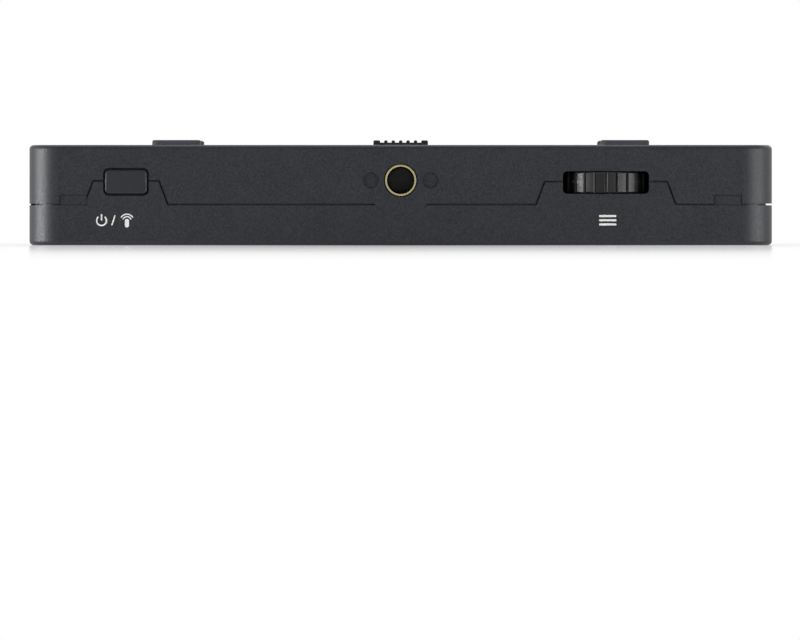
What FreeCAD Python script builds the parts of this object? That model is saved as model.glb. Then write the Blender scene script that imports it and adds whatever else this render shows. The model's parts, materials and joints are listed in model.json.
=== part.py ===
import FreeCAD, Part
import math
import os

# Camera field monitor, in millimetres. It lies on its screen: Z = 0 is the rim round the screen,
# +Z is out of the back, -Y is the monitor's top edge with the button and the wheel, +Y is its
# bottom edge with the sockets, and X runs along the long side.

Vector = FreeCAD.Vector
x_axis = Vector(1, 0, 0)
y_axis = Vector(0, 1, 0)
z_axis = Vector(0, 0, 1)
beyond = 1.0                    # how far a cutting shape runs past the face it cuts

# Case: a front and a rear shell that meet at the seam
case_width = 151.0
case_height = 92.0
front_depth = 8.3
rear_depth = 12.1
corner_radius = 6.0
edge_radius = 0.9
wall = 2.0
back_wall = 2.0

# Seam: a narrow groove, a lip of the front shell behind it, and steps round the controls
seam_gap = 0.35
tab_gap = 0.1
lobe_gap = 0.04                 # round the thread inserts' lobes
seam_groove = 1.1
lip_rise = 1.0
lip_root = 3.0
lip_clearance = 0.12
step_slope = 0.375              # sideways run of a step's flank for each millimetre of rise
step_over_centre = 0.2          # a step ends this far past the middle of its control
tab_from_end = 6.25
tab_width = 5.55
tab_rise = 1.9
tab_recess = 0.3

# Screen, from the front
bezel_rim = 2.2
glass_recess = 0.3
glass_gap = 0.15
glass_thickness = 1.1
glue_thickness = 0.15
glue_inset = 0.4
ledge_thickness = 1.2
panel_border_x = 7.0
panel_border_y = 5.8
panel_clearance = 0.5
panel_gap = 0.25
panel_thickness = 1.4
panel_corner_radius = 0.8
backlight_thickness = 2.0

# Chassis plate behind the backlight, and the main board on its standoffs
chassis_thickness = 0.8
chassis_margin_x = 0.5
chassis_margin_y = 2.8
chassis_screw_from_wall = 2.3
chassis_screw_y = 20.0
chassis_boss_radius = 1.8
chassis_clearance = 0.5
board_thickness = 1.2
board_margin_x = 3.0
board_margin_y = 3.0
board_clearance = 0.75
standoff_radius = 2.2
board_screw_from_end = 9.5
board_screw_top_y = 30.0
board_screw_bottom_y = 26.0

# Small screws of the inside
small_screw_radius = 0.8
small_head_radius = 1.5
small_head_height = 0.9
screw_clearance = 0.05

# Case screws, one in each corner of the back
case_screw_inset_x = 4.5
case_screw_inset_y = 4.2
case_screw_radius = 1.0
case_head_radius = 1.9
case_head_height = 1.3
case_head_depth = 2.2
case_head_clearance = 0.15
case_boss_radius = 1.9
case_pillar_radius = 2.7
case_screw_bite = 4.0

# Rubber feet on the back
foot_width = 9.8
foot_length = 22.0
foot_height = 1.0
foot_corner_radius = 1.2
foot_edge = 0.25
foot_from_end = 29.9
foot_from_edge = 2.6

# Thread inserts in the middle of both long edges
insert_rise = 4.9
insert_thread_radius = 2.6
insert_mouth_radius = 2.8       # steep countersink of the thread hole
insert_mouth_depth = 0.7
insert_collar_radius = 3.22
insert_collar_length = 1.1
insert_body_radius = 4.2
insert_length = 5.8
insert_recess = 0.3
insert_groove_gap = 0.2         # open groove round the collar's face
insert_groove_depth = 0.9
insert_fit = 0.03
insert_boss_wall = 1.4
insert_boss_end = 1.0
insert_lobe_radius = 7.2
dimple_radius = 1.65
dimple_spacing = 12.1
dimple_depth = 0.6

# Power button
power_from_left = 19.7
power_rise = 4.6
power_opening_width = 9.3
power_opening_height = 5.7
power_opening_radius = 1.2
power_gap = 0.36
power_travel = 0.5
power_cap_edge = 0.4
power_step_shoulder = 2.05
flange_reach = 0.8
flange_thickness = 0.8
flange_gap = 0.1
power_stem_radius = 1.5
power_stem_length = 2.2

# Push switches behind the button and the wheel
switch_width = 6.0
switch_depth = 3.5
switch_height = 3.0             # above the plunger's axis
plunger_radius = 1.1
plunger_clearance = 0.08
plunger_length = 1.6
plunger_spare = 0.1

# Menu wheel: it turns on an axle, and the axle's carrier slides in a base on the board
wheel_from_right = 33.8
wheel_rise = 4.46
wheel_radius = 9.0
wheel_thickness = 4.1
wheel_proud = 1.2
wheel_edge = 0.15
wheel_ridges = 25
wheel_groove_width = 0.6
wheel_groove_depth = 0.3
wheel_slot_width = 17.5
wheel_slot_height = 4.6
wheel_slot_radius = 0.9
wheel_step_shoulder = 3.7
wheel_travel = 0.5
axle_radius = 1.2
axle_clearance = 0.05
axle_fit = 0.03
axle_shoulder_radius = 2.2
axle_head_radius = 1.9
axle_head_height = 0.6
slide_gap = 0.05
carrier_width = 11.6
carrier_thickness = 1.0
carrier_front_gap = 0.6
carrier_tab_gap = 0.4
carrier_tab_thickness = 0.9
carrier_tab_rise = 2.4
base_floor = 0.6
rail_width = 1.7
rail_lip = 0.8
rail_lip_thickness = 0.4

# Card socket
sd_from_left = 29.15
sd_notch_width = 29.7
sd_notch_rise = 3.5
sd_socket_width = 28.0
sd_socket_height = 3.1
sd_socket_length = 27.0
sd_socket_recess = 2.0
sd_frame_depth = 2.0            # plastic frame in front of the steel shell
sd_floor = 0.5
sd_sheet = 0.3
sd_card_width = 24.3
sd_back_wall = 2.0

# Power socket
dc_off_middle = 0.325           # from halfway between the card slot and the insert's lobe
dc_notch_width = 10.15
dc_notch_rise = 7.8
dc_gap = 0.1
dc_length = 12.2
dc_recess = 0.3
dc_hole_offset = 1.4
dc_hole_rise = 3.7
dc_hole_radius = 3.0
dc_hole_depth = 9.5
dc_pin_radius = 1.05
dc_pin_recess = 1.2
dc_pin_tip = 0.15
dc_pin_root_radius = 0.8        # the root is held in the housing
dc_pin_root = 1.8
dc_pin_fit = 0.03
dc_spring_width = 1.8
dc_spring_thickness = 0.3
dc_spring_length = 6.0
dc_spring_slot_gap = 0.15

# Headphone socket
phone_from_middle = 19.5
phone_rise = 3.0
phone_hole_radius = 2.75
phone_nose_gap = 0.15
phone_nose_recess = 1.2
phone_bore_radius = 1.8
phone_bore_length = 11.0
phone_body_width = 7.0
phone_body_height = 5.8
phone_body_length = 12.0
phone_body_gap = 0.1
phone_step_shoulder = 2.5

# Video sockets on the left side
hdmi_in_y = -16.0
hdmi_out_y = 8.0
hdmi_width = 14.3
hdmi_height = 4.8
hdmi_chamfer = 1.9
hdmi_sheet = 0.35
hdmi_length = 11.0
hdmi_recess = 0.4
hdmi_opening_gap = 0.3
hdmi_block_length = 3.2
hdmi_block_gap = 0.03
hdmi_tongue_width = 11.2
hdmi_tongue_thickness = 1.0
hdmi_tongue_recess = 2.0
hdmi_step_shoulder = 1.6

# Battery bay in the back, with its latch at the top end and its contacts at the bottom end
bay_width = 39.4
bay_depth = 3.0
bay_floor = 1.2
bay_wall = 1.2
bay_from_top = 7.8
bay_from_bottom = 7.2
bay_corner_radius = 1.5
hook_reach = 1.6
hook_length = 7.0
hook_thickness = 1.1
hook_below_back = 0.2
hook_from_ends = 24.0
latch_width = 11.1
latch_length = 4.8
latch_from_bay_end = 0.8
latch_gap = 0.15
latch_proud = 0.5
latch_rib_height = 0.45
latch_rib_edge = 0.18
latch_rib_pitch = 1.51
latch_rib_width = 0.7
latch_ribs = 7
latch_travel = 4.2
latch_flange_reach = 1.7
latch_flange_thickness = 1.0
latch_stop_gap = 0.05
latch_end_gap = 0.45            # left over the retainer when the latch is pressed
spring_wire_radius = 0.2
spring_coil_radius = 1.5
spring_turns = 6
spring_wire_sides = 6           # the wire's section, kept to a few flats
spring_bore_gap = 0.25
spring_cap = 1.4                # plastic left over the spring, below the ribs
retainer_thickness = 0.8
retainer_post_x = 10.5
retainer_post_radius = 1.9
retainer_end = 2.4
retainer_pin_radius = 1.05
retainer_pin_height = 1.6
contact_block_width = 17.0
contact_block_length = 6.5
contact_block_height = 2.5
contact_pitch = 5.6
contact_slot_width = 1.8
contact_slot_floor = 0.6
contact_back_wall = 1.2
contact_thickness = 0.7
contact_height = 1.6
contact_leg_length = 1.2
contact_leg_gap = 0.2

# Vents beside the bay
vent_length = 22.0
vent_width = 1.6
vent_pitch = 4.0
vent_count = 5

# Processor, its heat spreader and the screen's flat cable
chip_size = 19.0
chip_height = 1.4
spreader_gap = 1.5              # to the card socket
pad_size = 16.0
pad_height = 0.6
spreader_width = 58.0
spreader_length = 30.0
spreader_thickness = 1.0
flex_from_right = 25.5
flex_width = 20.0
flex_thickness = 0.25
flex_gap = 0.4
flex_rise = 0.45
flex_reach = 4.5
plug_length = 4.0
plug_height = 1.2
plug_margin = 1.5
plug_mouth_gap = 0.1

# Places that follow from the sizes
left_x = -case_width / 2
right_x = case_width / 2
top_y = -case_height / 2
bottom_y = case_height / 2
inner_left_x = left_x + wall
inner_right_x = right_x - wall
inner_top_y = top_y + wall
inner_bottom_y = bottom_y - wall
case_thickness = front_depth + rear_depth
seam_z = front_depth
back_inner_z = case_thickness - back_wall

glue_z = glass_recess + glass_thickness
ledge_z = glue_z + glue_thickness
ledge_top_z = ledge_z + ledge_thickness
panel_z = glue_z + panel_gap
backlight_z = panel_z + panel_thickness
chassis_z = backlight_z + backlight_thickness
chassis_top_z = chassis_z + chassis_thickness
board_top_z = seam_z
board_z = board_top_z - board_thickness
panel_half_width = right_x - panel_border_x
panel_half_height = bottom_y - panel_border_y

power_x = left_x + power_from_left
power_z = seam_z + power_rise
wheel_x = right_x - wheel_from_right
wheel_y = top_y - wheel_proud + wheel_radius
wheel_z = seam_z + wheel_rise
insert_z = seam_z + insert_rise
sd_x = left_x + sd_from_left
dc_x = (sd_x + sd_notch_width / 2 - insert_lobe_radius) / 2 - dc_off_middle
dc_hole_x = dc_x + dc_hole_offset
dc_hole_z = board_top_z + dc_hole_rise
phone_x = phone_from_middle
foot_x = right_x - foot_from_end
tab_x = right_x - tab_from_end - tab_width / 2
flex_x = right_x - flex_from_right
phone_z = board_top_z + phone_rise
hdmi_z = board_top_z + hdmi_sheet + hdmi_height / 2

bay_top_y = top_y + bay_from_top
bay_bottom_y = bottom_y - bay_from_bottom
bay_floor_z = case_thickness - bay_depth
bay_under_z = bay_floor_z - bay_floor
latch_y = bay_top_y + latch_from_bay_end + latch_length / 2
contact_block_y = bay_bottom_y - contact_block_length
contact_floor_z = bay_floor_z + contact_slot_floor
contact_end_y = bay_bottom_y - contact_back_wall
contact_leg_y = contact_end_y - contact_leg_length
latch_flange_top_z = bay_under_z - latch_stop_gap
latch_flange_z = latch_flange_top_z - latch_flange_thickness
retainer_top_z = latch_flange_z - latch_travel - latch_end_gap
retainer_z = retainer_top_z - retainer_thickness

case_screw_places = [
    (x, y)
    for x in (left_x + case_screw_inset_x, right_x - case_screw_inset_x)
    for y in (top_y + case_screw_inset_y, bottom_y - case_screw_inset_y)
]
chassis_screw_places = [
    (x, y)
    for x in (inner_left_x + chassis_screw_from_wall, inner_right_x - chassis_screw_from_wall)
    for y in (-chassis_screw_y, chassis_screw_y)
]
board_screw_places = [
    (x, y)
    for x in (left_x + board_screw_from_end, right_x - board_screw_from_end)
    for y in (-board_screw_top_y, board_screw_bottom_y)
]
retainer_screw_places = [(-retainer_post_x, latch_y), (retainer_post_x, latch_y)]
contact_places = [-contact_pitch, 0.0, contact_pitch]


# Basic forms

def block(x_from, x_to, y_from, y_to, z_from, z_to):
    return Part.makeBox(x_to - x_from, y_to - y_from, z_to - z_from, Vector(x_from, y_from, z_from))


def rounded_block(x_from, x_to, y_from, y_to, z_from, z_to, radius, axis):
    plain = block(x_from, x_to, y_from, y_to, z_from, z_to)
    edges = [edge for edge in plain.Edges if abs(edge.tangentAt(edge.FirstParameter).dot(axis)) > 0.9]
    return plain.makeFillet(radius, edges)


def rod(x, y, z, axis, radius, length):
    return Part.makeCylinder(radius, length, Vector(x, y, z), axis)


def post(place, radius, z_from, z_to):
    return rod(place[0], place[1], z_from, z_axis, radius, z_to - z_from)


def wall_prism(outline, normal, start, depth):
    # Prism through a side wall, from an outline of (place along the wall, height) points.
    along = x_axis if normal == y_axis else y_axis
    corners = [along * place + normal * start + z_axis * z for place, z in outline]
    face = Part.Face(Part.makePolygon(corners + corners[:1]))
    return face.extrude(normal * depth)


def screw(place, seat_z, way, head_radius, head_height, shank_radius, shank_length):
    # Screw that is driven the given way: its head lies on seat_z and its shank goes through.
    head = rod(place[0], place[1], seat_z, -way, head_radius, head_height)
    shank = rod(place[0], place[1], seat_z, way, shank_radius, shank_length)
    return head.fuse(shank).removeSplitter()


def small_screw(place, seat_z, way, shank_length):
    return screw(
        place, seat_z, way, small_head_radius, small_head_height, small_screw_radius, shank_length
    )


# Case shells

def case_form(inset, z_from, z_to):
    return rounded_block(
        left_x + inset, right_x - inset, top_y + inset, bottom_y - inset,
        z_from, z_to, corner_radius - inset, z_axis,
    )


def case_ring(outer_inset, inner_inset, z_from, z_to):
    return case_form(outer_inset, z_from, z_to).cut(case_form(inner_inset, z_from, z_to))


def make_hull():
    # Both shells in one: rounded body, hollow inside, with the screen's opening in front.
    body = case_form(0, 0, case_thickness)
    rims = [edge for edge in body.Edges if edge.BoundBox.ZLength < edge_radius]
    body = body.makeFillet(edge_radius, rims)
    cavity = case_form(wall, ledge_top_z, back_inner_z)
    opening_x = panel_half_width + panel_clearance
    opening_y = panel_half_height + panel_clearance
    opening = rounded_block(
        -opening_x, opening_x, -opening_y, opening_y, -beyond, ledge_top_z + beyond,
        panel_corner_radius + panel_clearance, z_axis,
    )
    recess = case_form(bezel_rim, -beyond, ledge_z)
    return body.cut([cavity, opening, recess])


def step_outline(centre, top_width, top_z, slope, grow):
    # Raised step of the seam, with its edge moved outwards by grow.
    spread = grow * math.hypot(1, slope)
    low = seam_z - lip_root
    high = top_z + grow
    low_half = top_width / 2 + slope * (top_z - low) + spread
    high_half = top_width / 2 - slope * grow + spread
    return [
        (centre - low_half, low),
        (centre - high_half, high),
        (centre + high_half, high),
        (centre + low_half, low),
    ]


def front_zone(grow, tab_grow, lobe_grow):
    # Space in front of the seam, with its edge moved into the rear shell by grow.
    zone = block(
        left_x - beyond, right_x + beyond, top_y - beyond, bottom_y + beyond, -beyond, seam_z + grow
    )
    tabs = [step_outline(x, tab_width, seam_z + tab_rise, 0, tab_grow) for x in (-tab_x, tab_x)]
    top_steps = tabs + [
        step_outline(
            power_x, power_opening_width + 2 * power_step_shoulder,
            power_z + step_over_centre, step_slope, grow,
        ),
        step_outline(
            wheel_x, wheel_slot_width + 2 * wheel_step_shoulder,
            wheel_z + step_over_centre, step_slope, grow,
        ),
    ]
    bottom_steps = tabs + [
        step_outline(
            phone_x, 2 * (phone_hole_radius + phone_step_shoulder),
            phone_z + step_over_centre, step_slope, grow,
        ),
    ]
    left_steps = [
        step_outline(y, hdmi_width + 2 * hdmi_step_shoulder, hdmi_z + step_over_centre, step_slope, grow)
        for y in (hdmi_in_y, hdmi_out_y)
    ]
    depth = wall + 2 * beyond
    steps = [wall_prism(outline, y_axis, top_y - beyond, depth) for outline in top_steps]
    steps += [wall_prism(outline, y_axis, inner_bottom_y - beyond, depth) for outline in bottom_steps]
    steps += [wall_prism(outline, x_axis, left_x - beyond, depth) for outline in left_steps]
    lobe_radius = insert_lobe_radius - lobe_grow
    lobes = [
        rod(0, y, insert_z, y_axis, lobe_radius, depth)
        for y in (top_y - beyond, inner_bottom_y - beyond)
    ]
    return zone.fuse(steps).cut(lobes)


def control_openings():
    # Openings in the side walls. They cut both shells.
    depth = wall + 2 * beyond
    power_half_x = power_opening_width / 2
    power_half_z = power_opening_height / 2
    slot_half_x = wheel_slot_width / 2
    slot_half_z = wheel_slot_height / 2
    openings = [
        rounded_block(
            power_x - power_half_x, power_x + power_half_x, top_y - beyond, inner_top_y + beyond,
            power_z - power_half_z, power_z + power_half_z, power_opening_radius, y_axis,
        ),
        rounded_block(
            wheel_x - slot_half_x, wheel_x + slot_half_x, top_y - beyond, inner_top_y + beyond,
            wheel_z - slot_half_z, wheel_z + slot_half_z, wheel_slot_radius, y_axis,
        ),
        rod(phone_x, inner_bottom_y - beyond, phone_z, y_axis, phone_hole_radius, depth),
    ]
    for x, width, rise in ((sd_x, sd_notch_width, sd_notch_rise), (dc_x, dc_notch_width, dc_notch_rise)):
        openings.append(block(
            x - width / 2, x + width / 2, inner_bottom_y - beyond, bottom_y + beyond,
            seam_z - seam_gap / 2, seam_z + rise,
        ))
    hdmi_half_y = hdmi_width / 2 + hdmi_sheet + hdmi_opening_gap
    hdmi_half_z = hdmi_height / 2 + hdmi_sheet + hdmi_opening_gap
    for y in (hdmi_in_y, hdmi_out_y):
        openings.append(rounded_block(
            left_x - beyond, inner_left_x + beyond, y - hdmi_half_y, y + hdmi_half_y,
            hdmi_z - hdmi_half_z, hdmi_z + hdmi_half_z, hdmi_opening_gap, x_axis,
        ))
    return openings


def long_edges():
    # Each long edge: the place of its outer face and the way into the case.
    return [(top_y, y_axis), (bottom_y, -y_axis)]


def tab_recesses():
    # The tabs stand back from the outer faces, with a fine groove along their roots.
    half = tab_width / 2
    root_z = seam_z - seam_gap / 2
    cuts = []
    for x in (-tab_x, tab_x):
        for face_y, inward in long_edges():
            for depth, top_z in ((tab_recess, seam_z + tab_rise), (seam_groove, root_z + tab_gap)):
                ends = sorted((face_y - inward.y * beyond, face_y + inward.y * depth))
                cuts.append(block(x - half, x + half, ends[0], ends[1], root_z, top_z))
    return cuts


def make_front_bezel(hull):
    shell = hull.common(front_zone(-seam_gap / 2, -tab_gap / 2, -lobe_gap / 2))
    lip = case_ring(seam_groove + lip_clearance, wall, seam_z - lip_root, back_inner_z)
    lip = lip.common(front_zone(lip_rise, lip_rise, lip_rise))
    case_bosses = [post(place, case_boss_radius, ledge_z, seam_z) for place in case_screw_places]
    chassis_bosses = [post(place, chassis_boss_radius, ledge_z, chassis_z) for place in chassis_screw_places]
    shell = shell.fuse([lip] + case_bosses + chassis_bosses)
    holes = [
        post(place, case_screw_radius + screw_clearance, ledge_top_z, seam_z + beyond)
        for place in case_screw_places
    ]
    holes += [
        post(place, small_screw_radius + screw_clearance, ledge_top_z, chassis_z + beyond)
        for place in chassis_screw_places
    ]
    return shell.cut(holes + control_openings() + tab_recesses()).removeSplitter()


def rear_bosses():
    # What stands inside the rear shell: the bay's tub, insert bosses, screw pillars and latch posts.
    bay_outer = bay_width / 2 + bay_wall
    boss_radius = insert_body_radius + insert_boss_wall
    boss_length = insert_recess + insert_length + insert_boss_end - wall / 2
    bosses = [
        block(
            -bay_outer, bay_outer, bay_top_y - bay_wall, bay_bottom_y + bay_wall,
            bay_under_z, case_thickness - back_wall / 2,
        )
    ]
    for face_y, inward in long_edges():
        bosses.append(rod(0, face_y + inward.y * wall / 2, insert_z, inward, boss_radius, boss_length))
    for place in case_screw_places:
        bosses.append(post(place, case_pillar_radius, seam_z, case_thickness - back_wall / 2))
    for place in retainer_screw_places:
        bosses.append(post(place, retainer_post_radius, retainer_top_z, bay_floor_z))
    return bosses


def insert_cuts():
    # Wall hole for the collar, groove round its face, pocket for the body, and the dimples beside them.
    cuts = []
    for face_y, inward in long_edges():
        outside_y = face_y - inward.y * beyond
        pocket_y = face_y + inward.y * (insert_recess + insert_collar_length)
        groove_radius = insert_collar_radius + insert_groove_gap
        pocket_length = insert_length - insert_collar_length
        cuts.append(rod(0, outside_y, insert_z, inward, insert_collar_radius + insert_fit, wall + beyond))
        cuts.append(rod(0, outside_y, insert_z, inward, groove_radius, insert_groove_depth + beyond))
        cuts.append(rod(0, pocket_y, insert_z, inward, insert_body_radius + insert_fit, pocket_length))
        for x in (-dimple_spacing / 2, dimple_spacing / 2):
            cuts.append(rod(x, outside_y, insert_z, inward, dimple_radius, dimple_depth + beyond))
    return cuts


def rear_screw_holes():
    head_z = case_thickness - case_head_depth
    holes = []
    for place in case_screw_places:
        holes.append(post(place, case_head_radius + case_head_clearance, head_z, case_thickness + beyond))
        holes.append(post(place, case_screw_radius + screw_clearance, seam_z - beyond, head_z))
    for place in retainer_screw_places:
        holes.append(post(place, small_screw_radius + screw_clearance, retainer_top_z - beyond, bay_under_z))
    return holes


def bay_cuts():
    # The bay itself, the latch's window and the holes for the contacts' legs.
    bay = rounded_block(
        -bay_width / 2, bay_width / 2, bay_top_y, bay_bottom_y, bay_floor_z, case_thickness + beyond,
        bay_corner_radius, z_axis,
    )
    window_x = latch_width / 2 + latch_gap
    window_y = latch_length / 2 + latch_gap
    window = block(
        -window_x, window_x, latch_y - window_y, latch_y + window_y, bay_under_z - beyond, bay_floor_z
    )
    leg_half = contact_thickness / 2 + contact_leg_gap
    legs = [
        block(
            x - leg_half, x + leg_half, contact_leg_y - contact_leg_gap, contact_end_y + contact_leg_gap,
            bay_under_z - beyond, bay_floor_z,
        )
        for x in contact_places
    ]
    return [bay, window] + legs


def vent_slots():
    slots = []
    for x in (-foot_x, foot_x):
        for row in range(vent_count):
            y = (row - (vent_count - 1) / 2) * vent_pitch
            slots.append(block(
                x - vent_length / 2, x + vent_length / 2, y - vent_width / 2, y + vent_width / 2,
                back_inner_z - beyond, case_thickness + beyond,
            ))
    return slots


def bay_hooks():
    # Hooks along both sides of the bay, which hold the battery's rails.
    hook_top_z = case_thickness - hook_below_back
    hooks = []
    for side in (-1, 1):
        inner_x = side * (bay_width / 2 - hook_reach)
        outer_x = side * (bay_width / 2 + bay_wall / 2)
        for y in (bay_top_y + hook_from_ends, bay_bottom_y - hook_from_ends):
            hooks.append(block(
                min(inner_x, outer_x), max(inner_x, outer_x), y - hook_length / 2, y + hook_length / 2,
                hook_top_z - hook_thickness, hook_top_z,
            ))
    return hooks


def make_rear_cover(hull):
    shell = hull.cut(front_zone(seam_gap / 2, tab_gap / 2, lobe_gap / 2)).fuse(rear_bosses())
    lip_room = case_ring(seam_groove, wall + lip_clearance, seam_z - lip_root, back_inner_z)
    room_rise = lip_rise + lip_clearance
    lip_room = lip_room.common(front_zone(room_rise, room_rise, room_rise))
    cuts = [lip_room] + bay_cuts() + control_openings() + insert_cuts() + rear_screw_holes() + vent_slots()
    return shell.cut(cuts).fuse(bay_hooks()).removeSplitter()


def make_case_screws():
    head_z = case_thickness - case_head_depth
    length = head_z - seam_z + case_screw_bite
    return [
        screw(place, head_z, -z_axis, case_head_radius, case_head_height, case_screw_radius, length)
        for place in case_screw_places
    ]


def make_rubber_feet():
    feet = []
    near_y = bottom_y - foot_from_edge - foot_length / 2
    for x in (-foot_x, foot_x):
        for y in (-near_y, near_y):
            foot = rounded_block(
                x - foot_width / 2, x + foot_width / 2, y - foot_length / 2, y + foot_length / 2,
                case_thickness, case_thickness + foot_height, foot_corner_radius, z_axis,
            )
            top = foot.BoundBox.ZMax
            rim = [edge for edge in foot.Edges if edge.BoundBox.ZMin > top - foot_edge]
            feet.append(foot.makeChamfer(foot_edge, rim))
    return feet


def make_thread_insert(face_y, inward):
    # Turned part: collar in the wall's hole, wider body behind the wall, countersunk thread hole.
    collar_end = insert_recess + insert_collar_length
    body_end = insert_recess + insert_length
    profile = [
        (insert_mouth_radius, insert_recess),
        (insert_collar_radius, insert_recess),
        (insert_collar_radius, collar_end),
        (insert_body_radius, collar_end),
        (insert_body_radius, body_end),
        (insert_thread_radius, body_end),
        (insert_thread_radius, insert_recess + insert_mouth_depth),
    ]
    corners = [Vector(radius, face_y + inward.y * depth, insert_z) for radius, depth in profile]
    face = Part.Face(Part.makePolygon(corners + corners[:1]))
    return face.revolve(Vector(0, 0, insert_z), y_axis, 360)


# Screen

def make_cover_glass():
    return case_form(bezel_rim + glass_gap, glass_recess, glue_z)


def make_glass_adhesive():
    outer = case_form(bezel_rim + glass_gap + glue_inset, glue_z, ledge_z)
    inner_x = panel_half_width + panel_clearance + glue_inset
    inner_y = panel_half_height + panel_clearance + glue_inset
    return outer.cut(block(-inner_x, inner_x, -inner_y, inner_y, glue_z, ledge_z))


def panel_layer(z_from, z_to):
    return rounded_block(
        -panel_half_width, panel_half_width, -panel_half_height, panel_half_height,
        z_from, z_to, panel_corner_radius, z_axis,
    )


def flex_slot(z_from, z_to):
    # Room for the screen's flat cable at the edge of the chassis plate and of the board.
    half = flex_width / 2 + flex_gap
    return block(flex_x - half, flex_x + half, panel_half_height - flex_gap, bottom_y, z_from, z_to)


def make_chassis_plate():
    half_x = inner_right_x - chassis_margin_x
    half_y = inner_bottom_y - chassis_margin_y
    plate = block(-half_x, half_x, -half_y, half_y, chassis_z, chassis_top_z)
    standoffs = [post(place, standoff_radius, chassis_top_z, board_z) for place in board_screw_places]
    holes = [
        post(place, small_screw_radius + screw_clearance, chassis_z, board_z)
        for place in board_screw_places + chassis_screw_places
    ]
    corners = [
        post(place, case_boss_radius + chassis_clearance, chassis_z, chassis_top_z)
        for place in case_screw_places
    ]
    return plate.fuse(standoffs).cut(holes + corners + [flex_slot(chassis_z, chassis_top_z)]).removeSplitter()


def make_chassis_screws():
    length = chassis_top_z - ledge_top_z - small_head_height
    return [small_screw(place, chassis_top_z, -z_axis, length) for place in chassis_screw_places]


# Electronics

def make_main_board():
    half_x = inner_right_x - board_margin_x
    half_y = inner_bottom_y - board_margin_y
    plate = block(-half_x, half_x, -half_y, half_y, board_z, board_top_z)
    notch_half = insert_body_radius + insert_boss_wall + board_clearance
    notch_depth = insert_recess + insert_length + insert_boss_end + board_clearance
    cuts = [
        block(-notch_half, notch_half, top_y, top_y + notch_depth, board_z, board_top_z),
        block(-notch_half, notch_half, bottom_y - notch_depth, bottom_y, board_z, board_top_z),
        flex_slot(board_z, board_top_z),
    ]
    cuts += [
        post(place, small_screw_radius + screw_clearance, board_z, board_top_z)
        for place in board_screw_places
    ]
    cuts += [
        post(place, case_pillar_radius + board_clearance, board_z, board_top_z)
        for place in case_screw_places
    ]
    return plate.cut(cuts)


def make_board_screws():
    length = board_top_z - chassis_z
    return [small_screw(place, board_top_z, -z_axis, length) for place in board_screw_places]


def centred_plate(width, length, y, z_from, z_to):
    return block(-width / 2, width / 2, y - length / 2, y + length / 2, z_from, z_to)


def make_cooling():
    chip_y = sd_end_y - spreader_gap - spreader_length / 2
    chip_top = board_top_z + chip_height
    pad_top = chip_top + pad_height
    chip = centred_plate(chip_size, chip_size, chip_y, board_top_z, chip_top)
    pad = centred_plate(pad_size, pad_size, chip_y, chip_top, pad_top)
    spreader = centred_plate(spreader_width, spreader_length, chip_y, pad_top, pad_top + spreader_thickness)
    return chip, pad, spreader


def make_display_flex():
    # Flat cable: up from the panel's edge, through the slots, over the board to its socket.
    half = flex_width / 2
    edge_y = panel_half_height
    over_z = board_top_z + flex_rise
    riser = block(
        flex_x - half, flex_x + half, edge_y, edge_y + flex_thickness,
        panel_z + panel_gap, over_z + flex_thickness,
    )
    run = block(
        flex_x - half, flex_x + half, edge_y - flex_reach, edge_y, over_z, over_z + flex_thickness
    )
    return riser.fuse(run).removeSplitter()


def make_flex_connector():
    half = flex_width / 2 + plug_margin
    mouth_y = panel_half_height - flex_reach
    over_z = board_top_z + flex_rise
    shell = block(
        flex_x - half, flex_x + half, mouth_y - plug_length / 2, mouth_y + plug_length / 2,
        board_top_z, board_top_z + plug_height,
    )
    mouth = block(
        flex_x - flex_width / 2 - flex_gap, flex_x + flex_width / 2 + flex_gap,
        mouth_y, mouth_y + plug_length, over_z - plug_mouth_gap, over_z + flex_thickness + plug_mouth_gap,
    )
    return shell.cut(mouth)


# Push switches

def make_plunger(x, tip_y, z):
    return rod(x, tip_y, z, y_axis, plunger_radius, plunger_length)


def make_switch(x, face_y, z, foot_z):
    body = block(
        x - switch_width / 2, x + switch_width / 2, face_y, face_y + switch_depth,
        foot_z, z + switch_height,
    )
    bore = rod(x, face_y - beyond, z, y_axis, plunger_radius + plunger_clearance, beyond + plunger_length)
    return body.cut(bore)


# Power button

power_flange_y = inner_top_y + flange_gap
power_stem_y = power_flange_y + flange_thickness
power_plunger_y = power_stem_y + power_stem_length
power_switch_y = power_plunger_y + power_travel + plunger_spare


def make_power_button():
    half_x = power_opening_width / 2 - power_gap
    half_z = power_opening_height / 2 - power_gap
    cap = rounded_block(
        power_x - half_x, power_x + half_x, top_y, power_stem_y,
        power_z - half_z, power_z + half_z, power_opening_radius - power_gap, y_axis,
    )
    front = [edge for edge in cap.Edges if edge.BoundBox.YMax < top_y + power_cap_edge]
    cap = cap.makeFillet(power_cap_edge, front)
    flange = block(
        power_x - half_x - flange_reach, power_x + half_x + flange_reach, power_flange_y, power_stem_y,
        power_z - half_z - flange_reach, power_z + half_z + flange_reach,
    )
    stem = rod(power_x, power_stem_y, power_z, y_axis, power_stem_radius, power_stem_length)
    return cap.fuse([flange, stem]).removeSplitter()


# Menu wheel

carrier_z = board_top_z + base_floor + slide_gap
carrier_top_z = carrier_z + carrier_thickness
carrier_tab_y = wheel_y + wheel_radius + carrier_tab_gap
wheel_plunger_y = carrier_tab_y + carrier_tab_thickness
wheel_switch_y = wheel_plunger_y + wheel_travel + plunger_spare
wheel_plunger_z = carrier_top_z + carrier_tab_rise / 2
wheel_bottom_z = wheel_z - wheel_thickness / 2
wheel_top_z = wheel_z + wheel_thickness / 2


def wheel_point(radius, angle):
    # Point at the wheel's lower face; angle 0 faces out of the slot.
    return Vector(wheel_x - radius * math.sin(angle), wheel_y - radius * math.cos(angle), wheel_bottom_z)


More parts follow.
